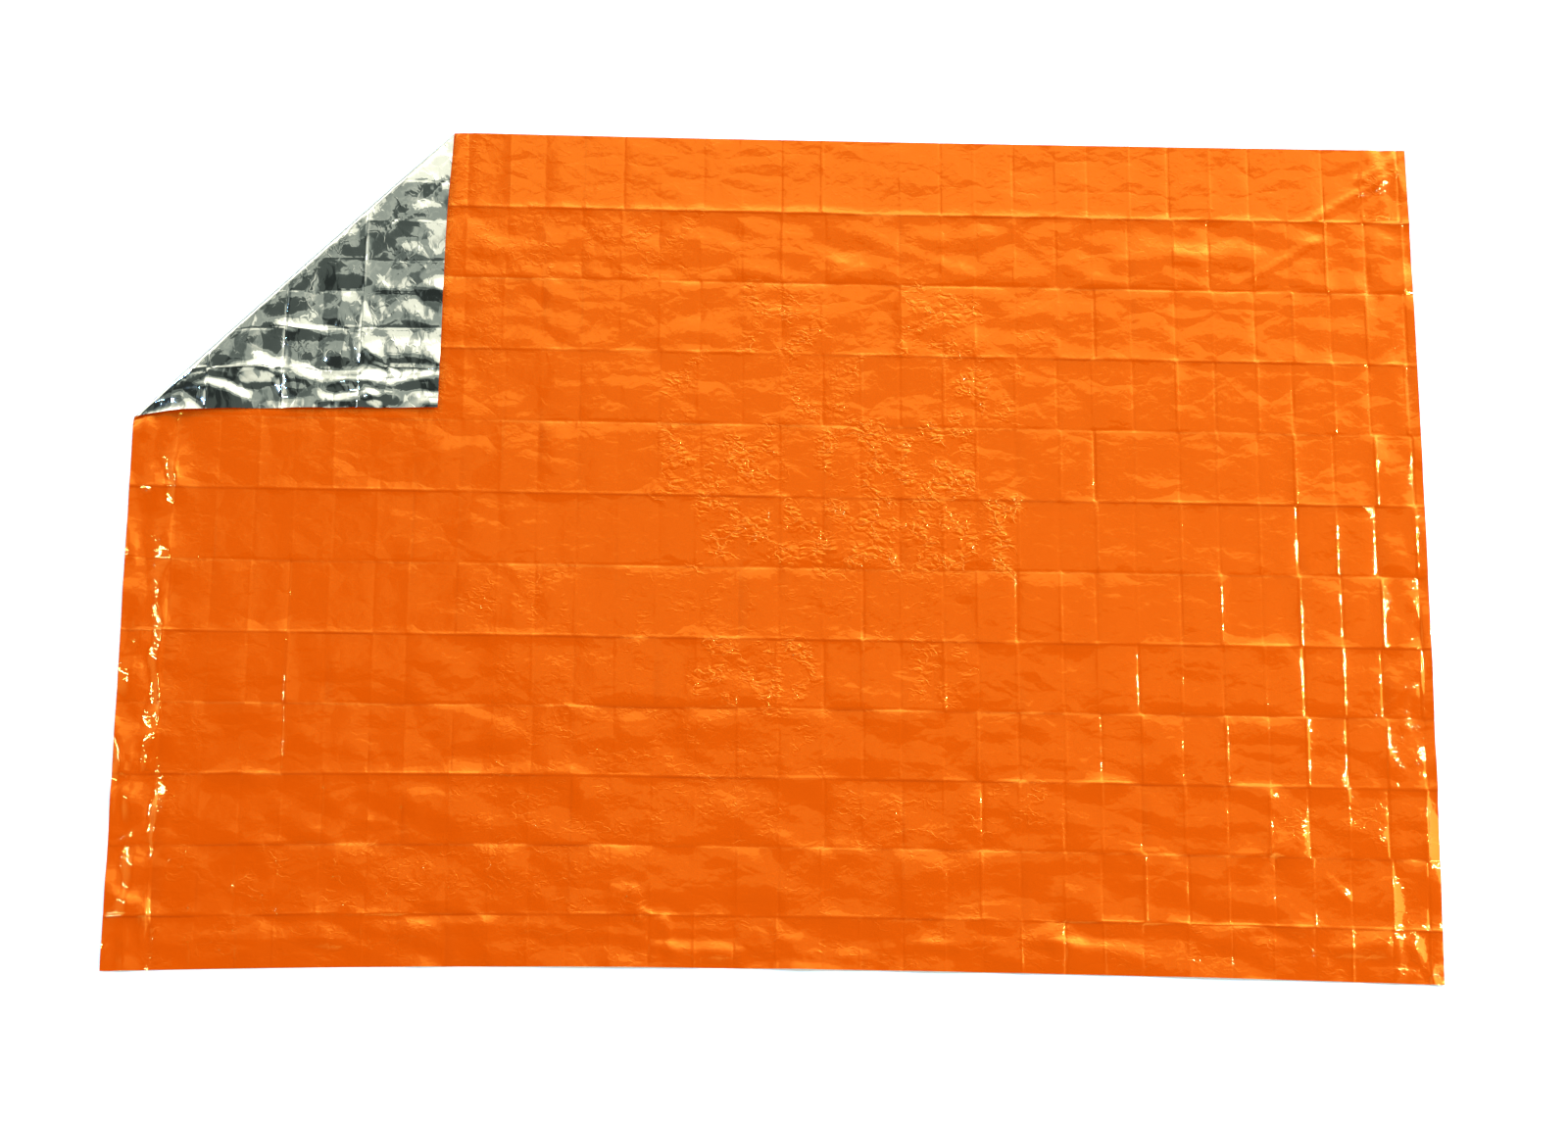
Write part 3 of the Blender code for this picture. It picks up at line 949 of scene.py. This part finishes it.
@dataclass(frozen=True)
class Crinkle:
    """Fine crinkles of the film, all as sizes on the flat film.

    Attributes:
        pane, pane_slope: the width in millimetres and steepness of the broad flat panes
            that all of the film has.
        facet, slope: the same of the crumples' facets, where the film is most crumpled.
        small_facet, small_slope: the smaller facets' shares of that width and steepness.
        wander, wander_scale: how far the pattern strays, in facets, and how fast.
        along: the pattern's scale along the film, against across it.
        line_spacing, line_height: how far apart the thin ridges lie and how high they are,
            in millimetres.
        line_reach: how far a ridge's foot lies from the noise's middle value.
        everywhere, lines_everywhere: the shares of facets and ridges on calm film.
        clump, between_clumps: how far apart the clumps of crumples lie in a patch, in
            millimetres, and the share that is left between them.
        clump_from, clump_whole: the noise values where a clump begins and is whole.
    """

    pane: float = 48.0
    pane_slope: float = 0.030
    facet: float = 13.0
    slope: float = 0.18
    small_facet: float = 0.45
    small_slope: float = 0.6
    wander: float = 1.1
    wander_scale: float = 0.6
    along: float = 0.6
    line_spacing: float = 17.0
    line_height: float = 0.65
    line_reach: float = 0.04
    everywhere: float = 0.05
    lines_everywhere: float = 0.06
    clump: float = 42.0
    clump_from: float = 0.44
    clump_whole: float = 0.58
    between_clumps: float = 0.15

    def facets(self, tree: Tree, place: Node, size: float, slope: float) -> Node:
        """Add low pyramids between random points, as high as the nearest border is far."""
        settings = {"feature": "DISTANCE_TO_EDGE", "Scale": 1 / (size * MM)}
        cells = add_node(tree, "ShaderNodeTexVoronoi", settings, Vector=place)
        return add_maths(tree, "MULTIPLY", cells, size * slope)

    def lines(self, tree: Tree, place: Node) -> Node:
        """Add thin ridges: roofs over the lines where a noise passes its middle value."""
        settings = {"Scale": 1 / (self.line_spacing * MM), "Detail": 2.0, "Roughness": 0.45}
        noise = add_node(tree, "ShaderNodeTexNoise", settings, Vector=place)
        away = add_maths(tree, "ABSOLUTE", add_maths(tree, "SUBTRACT", noise, 0.5))
        settings = {"From Min": self.line_reach, "From Max": 0.0, "To Max": self.line_height}
        settings["interpolation_type"] = "SMOOTHSTEP"
        return add_node(tree, "ShaderNodeMapRange", settings, Value=away)

    def build(self, tree: Tree) -> Node:
        """Add the crinkles' nodes, the height in millimetres, and return the bump node."""
        flat = add_node(tree, "ShaderNodeUVMap", {"uv_map": "flat_film"})
        settings = {"Scale": self.wander_scale / (self.facet * MM), "Detail": 1.0}
        wander = add_node(tree, "ShaderNodeTexNoise", settings, Vector=flat).outputs["Color"]
        settings = {"operation": "MULTIPLY_ADD", 1: (self.wander * self.facet * MM,) * 3}
        bent = add_node(tree, "ShaderNodeVectorMath", settings, in_0=wander, in_2=flat)
        settings = {"operation": "MULTIPLY", 1: (self.along, 1.0, 1.0)}
        place = add_node(tree, "ShaderNodeVectorMath", settings, in_0=bent)

        patch = add_node(tree, "ShaderNodeAttribute", {"attribute_name": "fine_crumple"})
        settings = {"Scale": 1 / (self.clump * MM), "Detail": 1.0}
        clumps = add_node(tree, "ShaderNodeTexNoise", settings, Vector=flat)
        settings = {"From Min": self.clump_from, "From Max": self.clump_whole}
        settings["To Min"] = self.between_clumps
        clumps = add_node(tree, "ShaderNodeMapRange", settings, Value=clumps)
        crumpled = add_maths(tree, "MULTIPLY", patch.outputs["Fac"], clumps)
        share = add_maths(tree, "MAXIMUM", crumpled, self.everywhere)
        line_share = add_maths(tree, "MAXIMUM", crumpled, self.lines_everywhere)
        large = self.facets(tree, place, self.facet, self.slope)
        small = self.facets(
            tree, place, self.facet * self.small_facet, self.slope * self.small_slope
        )
        facets = add_maths(tree, "MULTIPLY", add_maths(tree, "ADD", large, small), share)
        height = add_maths(tree, "MULTIPLY_ADD", self.lines(tree, place), line_share, facets)
        panes = self.facets(tree, place, self.pane, self.pane_slope)
        height = add_maths(tree, "ADD", height, panes)
        return add_node(tree, "ShaderNodeBump", {"Strength": 1.0, "Distance": MM}, Height=height)


@dataclass(frozen=True)
class OrangeFilm:
    """Metallised film under orange lacquer: a deep orange body whose surface mirrors the
    room in amber, so that a crease turns from deep to light orange, with a little white
    gloss that only shows where a lamp is mirrored."""

    colour: str = "#CC4902"
    # Painted shade: the darker colour mixed in beside the creases, in place of their shadow
    painted_shade_colour: str = "#B23B02"
    mirror_tint: str = "#FFEE30"
    metallic: float = 0.12
    roughness: float = 0.05
    shine: float = 1.0
    gloss: float = 0.20
    gloss_roughness: float = 0.03
    crinkle: Crinkle = Crinkle()

    def build(self) -> bpy.types.Material:
        """Return the orange finish."""
        inputs = {
            "Metallic": self.metallic,
            "Roughness": self.roughness,
            "Specular IOR Level": self.shine,
            "Specular Tint": linear(self.mirror_tint),
            "Coat Weight": self.gloss,
            "Coat Roughness": self.gloss_roughness,
        }
        material, shader = new_material("orange_lacquered_film", inputs)
        tree = material.node_tree
        # Painted shade: the colour darkens towards the shade colour beside the creases, standing
        # in for their shadow
        shaded = add_node(tree, "ShaderNodeAttribute", {"attribute_name": "crease_painted_shade"})
        base = add_colours(tree, shaded.outputs["Fac"], self.colour, self.painted_shade_colour)
        bump = self.crinkle.build(tree).outputs[0]
        tree.links.new(base, shader.inputs["Base Color"])
        tree.links.new(bump, shader.inputs["Normal"])
        tree.links.new(bump, shader.inputs["Coat Normal"])
        return material


@dataclass(frozen=True)
class SilverFilm:
    """Bare vapour-coated aluminium on film: a mirror whose every crinkle shows."""

    colour: str = "#CFD1C9"
    roughness: float = 0.06
    crinkle: Crinkle = Crinkle(
        pane=34.0, pane_slope=0.035, facet=15.0, slope=0.07,
        line_spacing=24.0, line_height=0.5, everywhere=0.10, lines_everywhere=0.05,
    )

    def build(self) -> bpy.types.Material:
        """Return the silver finish."""
        inputs = {"Base Color": linear(self.colour), "Metallic": 1.0, "Roughness": self.roughness}
        material, shader = new_material("silver_metallised_film", inputs)
        bump = self.crinkle.build(material.node_tree)
        material.node_tree.links.new(bump.outputs[0], shader.inputs["Normal"])
        return material


# ---- the studio


@dataclass(frozen=True)
class Lamp:
    """An area lamp with its long side along Y.

    Attributes:
        name, tint: its name and colour.
        place, aim, size: where it hangs, what point it faces, and its sides, in metres.
        power: its power in watts.
    """

    name: str
    place: tuple[float, float, float]
    aim: tuple[float, float, float]
    size: tuple[float, float]
    power: float
    tint: str

    def build(self) -> None:
        """Hang the lamp."""
        data = bpy.data.lights.new(self.name, "AREA")
        data.shape = "RECTANGLE"
        data.size, data.size_y = self.size
        data.energy = self.power
        data.color = linear(self.tint)[:3]
        lamp = add_to_scene(bpy.data.objects.new(self.name, data))
        lamp.location = self.place
        away = Vector(self.place) - Vector(self.aim)
        lamp.rotation_euler = away.to_track_quat("Z", "Y").to_euler()


LAMPS = (
    Lamp("right_lamp", (3.0, 0.8, 3.3), (0.95, 0.0, 0.0), (0.06, 1.05), 140.0, "#66A8FF"),
    Lamp("left_lamp", (-3.0, 0.6, 3.3), (-0.95, 0.0, 0.0), (0.06, 1.5), 88.0, "#66A8FF"),
    Lamp("right_softbox", (3.4, 0.3, 2.4), (0.6, 0.0, 0.0), (1.5, 2.5), 38.0, "#FFFFFF"),
)


@dataclass(frozen=True)
class Studio:
    """A pale floor, a soft sky with a bright far side, and the lamps.

    Attributes:
        camera_place, camera_turn: where the camera stands, in metres, and its turn from
            looking straight down, in degrees.
        lens, sensor: its focal length, and the width of its film, in millimetres.
        floor_span, floor_drop: the floor's side, and how far it lies under the film.
        far_levels: the sky's level by how far past straight up, in degrees; the far side
            counts as positive.
        side_levels, side_floor: a factor on it, and the least level, by how far to the
            right of straight up.
    """

    camera_place: tuple[float, float, float] = (-0.1916, -1.2359, 4.7275)
    camera_turn: tuple[float, float, float] = (14.305, -2.439, 0.318)
    lens: float = 69.557
    sensor: float = 36.0
    floor_span: float = 14.0
    floor_drop: float = 0.5 * MM
    floor_colour: str = "#F8F8F7"
    dim_tint: str = "#E8FFFA"
    bright_tint: str = "#FFFFF0"
    far_levels: Stops = (
        (-72, 0.30), (-60, 1.80), (-45, 1.30), (-32, 1.30), (-25, 0.90), (-18, 0.12),
        (0, 0.12), (8.4, 0.14), (8.8, 0.46), (10, 0.62), (11.6, 0.62), (12.6, 0.48),
        (19.2, 0.52), (19.6, 1.35), (26, 1.40), (33, 2.4), (37, 3.8), (46, 3.8),
        (54, 2.8), (62, 2.0), (70, 0.30),
    )
    side_levels: Stops = (
        (-70, 0.75), (-58, 1.3), (-45, 1.2), (-24, 0.50), (-8, 0.35), (-3, 1.00),
        (15, 1.10), (24, 1.6), (34, 1.7), (50, 1.6), (60, 1.2), (70, 0.75),
    )
    side_floor: Stops = (
        (-70, 0.25), (-58, 1.4), (-32, 0.85), (-22, 0.30), (-14, 0.0), (15, 0.0),
        (22, 0.40), (30, 0.90), (50, 1.7), (60, 1.2), (70, 0.25),
    )

    def build(self) -> None:
        """Set up the camera, floor, sky and lamps."""
        self.camera()
        self.floor()
        self.sky()
        for lamp in LAMPS:
            lamp.build()
        view = bpy.context.scene.view_settings
        view.view_transform = "Standard"
        view.look = "None"

    def camera(self) -> None:
        """Place the camera at the photograph's viewpoint."""
        data = bpy.data.cameras.new("camera")
        data.lens, data.sensor_width = self.lens, self.sensor
        data.sensor_fit = "HORIZONTAL"
        data.clip_end = 100.0
        camera = add_to_scene(bpy.data.objects.new("camera", data))
        camera.location = self.camera_place
        camera.rotation_euler = Euler([math.radians(a) for a in self.camera_turn], "XYZ")
        bpy.context.scene.camera = camera

    def floor(self) -> None:
        """Lay the floor just under the film."""
        half = self.floor_span / 2
        mesh = bpy.data.meshes.new("floor")
        corners = [(-half, -half), (half, -half), (half, half), (-half, half)]
        mesh.from_pydata([(x, y, -self.floor_drop) for x, y in corners], [], [(0, 1, 2, 3)])
        inputs = {"Base Color": linear(self.floor_colour), "Roughness": 0.9}
        mesh.materials.append(new_material("pale_floor", inputs)[0])
        floor = add_to_scene(bpy.data.objects.new("floor", mesh))

    def level(self, tree: Tree, angle: Node, stops: Stops) -> Node:
        """Add a ramp that turns an angle in radians into a level, from stops in degrees."""
        highest = max(value for _, value in stops)
        turn = {"From Min": -math.pi / 2, "From Max": math.pi / 2}
        share = add_node(tree, "ShaderNodeMapRange", turn, Value=angle)
        ramp = add_node(tree, "ShaderNodeValToRGB", Fac=share)
        elements = ramp.color_ramp.elements
        elements.remove(elements[1])
        for number, (degrees, value) in enumerate(stops):
            position = 0.5 + degrees / 180
            element = elements[0] if number == 0 else elements.new(position)
            element.position = position
            element.color = (value / highest, value / highest, value / highest, 1)
        return add_maths(tree, "MULTIPLY", ramp, highest)

    def sky(self) -> None:
        """Make the sky from tables of levels, one along the view and two across it.

        The angle from straight up is taken along and across the view apart, each as the
        arc tangent of that side's share over the height. The first two levels are
        multiplied, and the third is the least that this may be.
        """
        world = bpy.data.worlds.new("soft_studio")
        bpy.context.scene.world = world
        world.use_nodes = True
        tree = world.node_tree
        tree.nodes.clear()
        way = add_node(tree, "ShaderNodeTexCoord").outputs["Generated"]
        x, y, z = add_node(tree, "ShaderNodeSeparateXYZ", Vector=way).outputs
        far_angle = add_maths(tree, "ARCTAN2", y, z)
        side_angle = add_maths(tree, "ARCTAN2", x, z)
        far = self.level(tree, far_angle, self.far_levels)
        side = self.level(tree, side_angle, self.side_levels)
        least = self.level(tree, side_angle, self.side_floor)
        level = add_maths(tree, "MAXIMUM", add_maths(tree, "MULTIPLY", far, side), least)
        tint = add_colours(tree, level, self.dim_tint, self.bright_tint)
        background = add_node(tree, "ShaderNodeBackground", Color=tint, Strength=level)
        add_node(tree, "ShaderNodeOutputWorld", Surface=background)


# ---- the scene


def main() -> None:
    """Build the studio and the blanket, hang it under the root body in place of the imported part,
    and log its triangles.
    """
    logging.basicConfig(level=logging.INFO, format="%(name)s: %(message)s", force=True)
    Studio().build()
    film = FoilFilm()
    blanket = film.build((OrangeFilm().build(), SilverFilm().build()))
    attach(blanket, "root")
    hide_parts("blanket")
    mesh = blanket.data
    mesh.calc_loop_triangles()
    LOG.info("%s: %d triangles", blanket.name, len(mesh.loop_triangles))


if __name__ == "__main__":
    main()
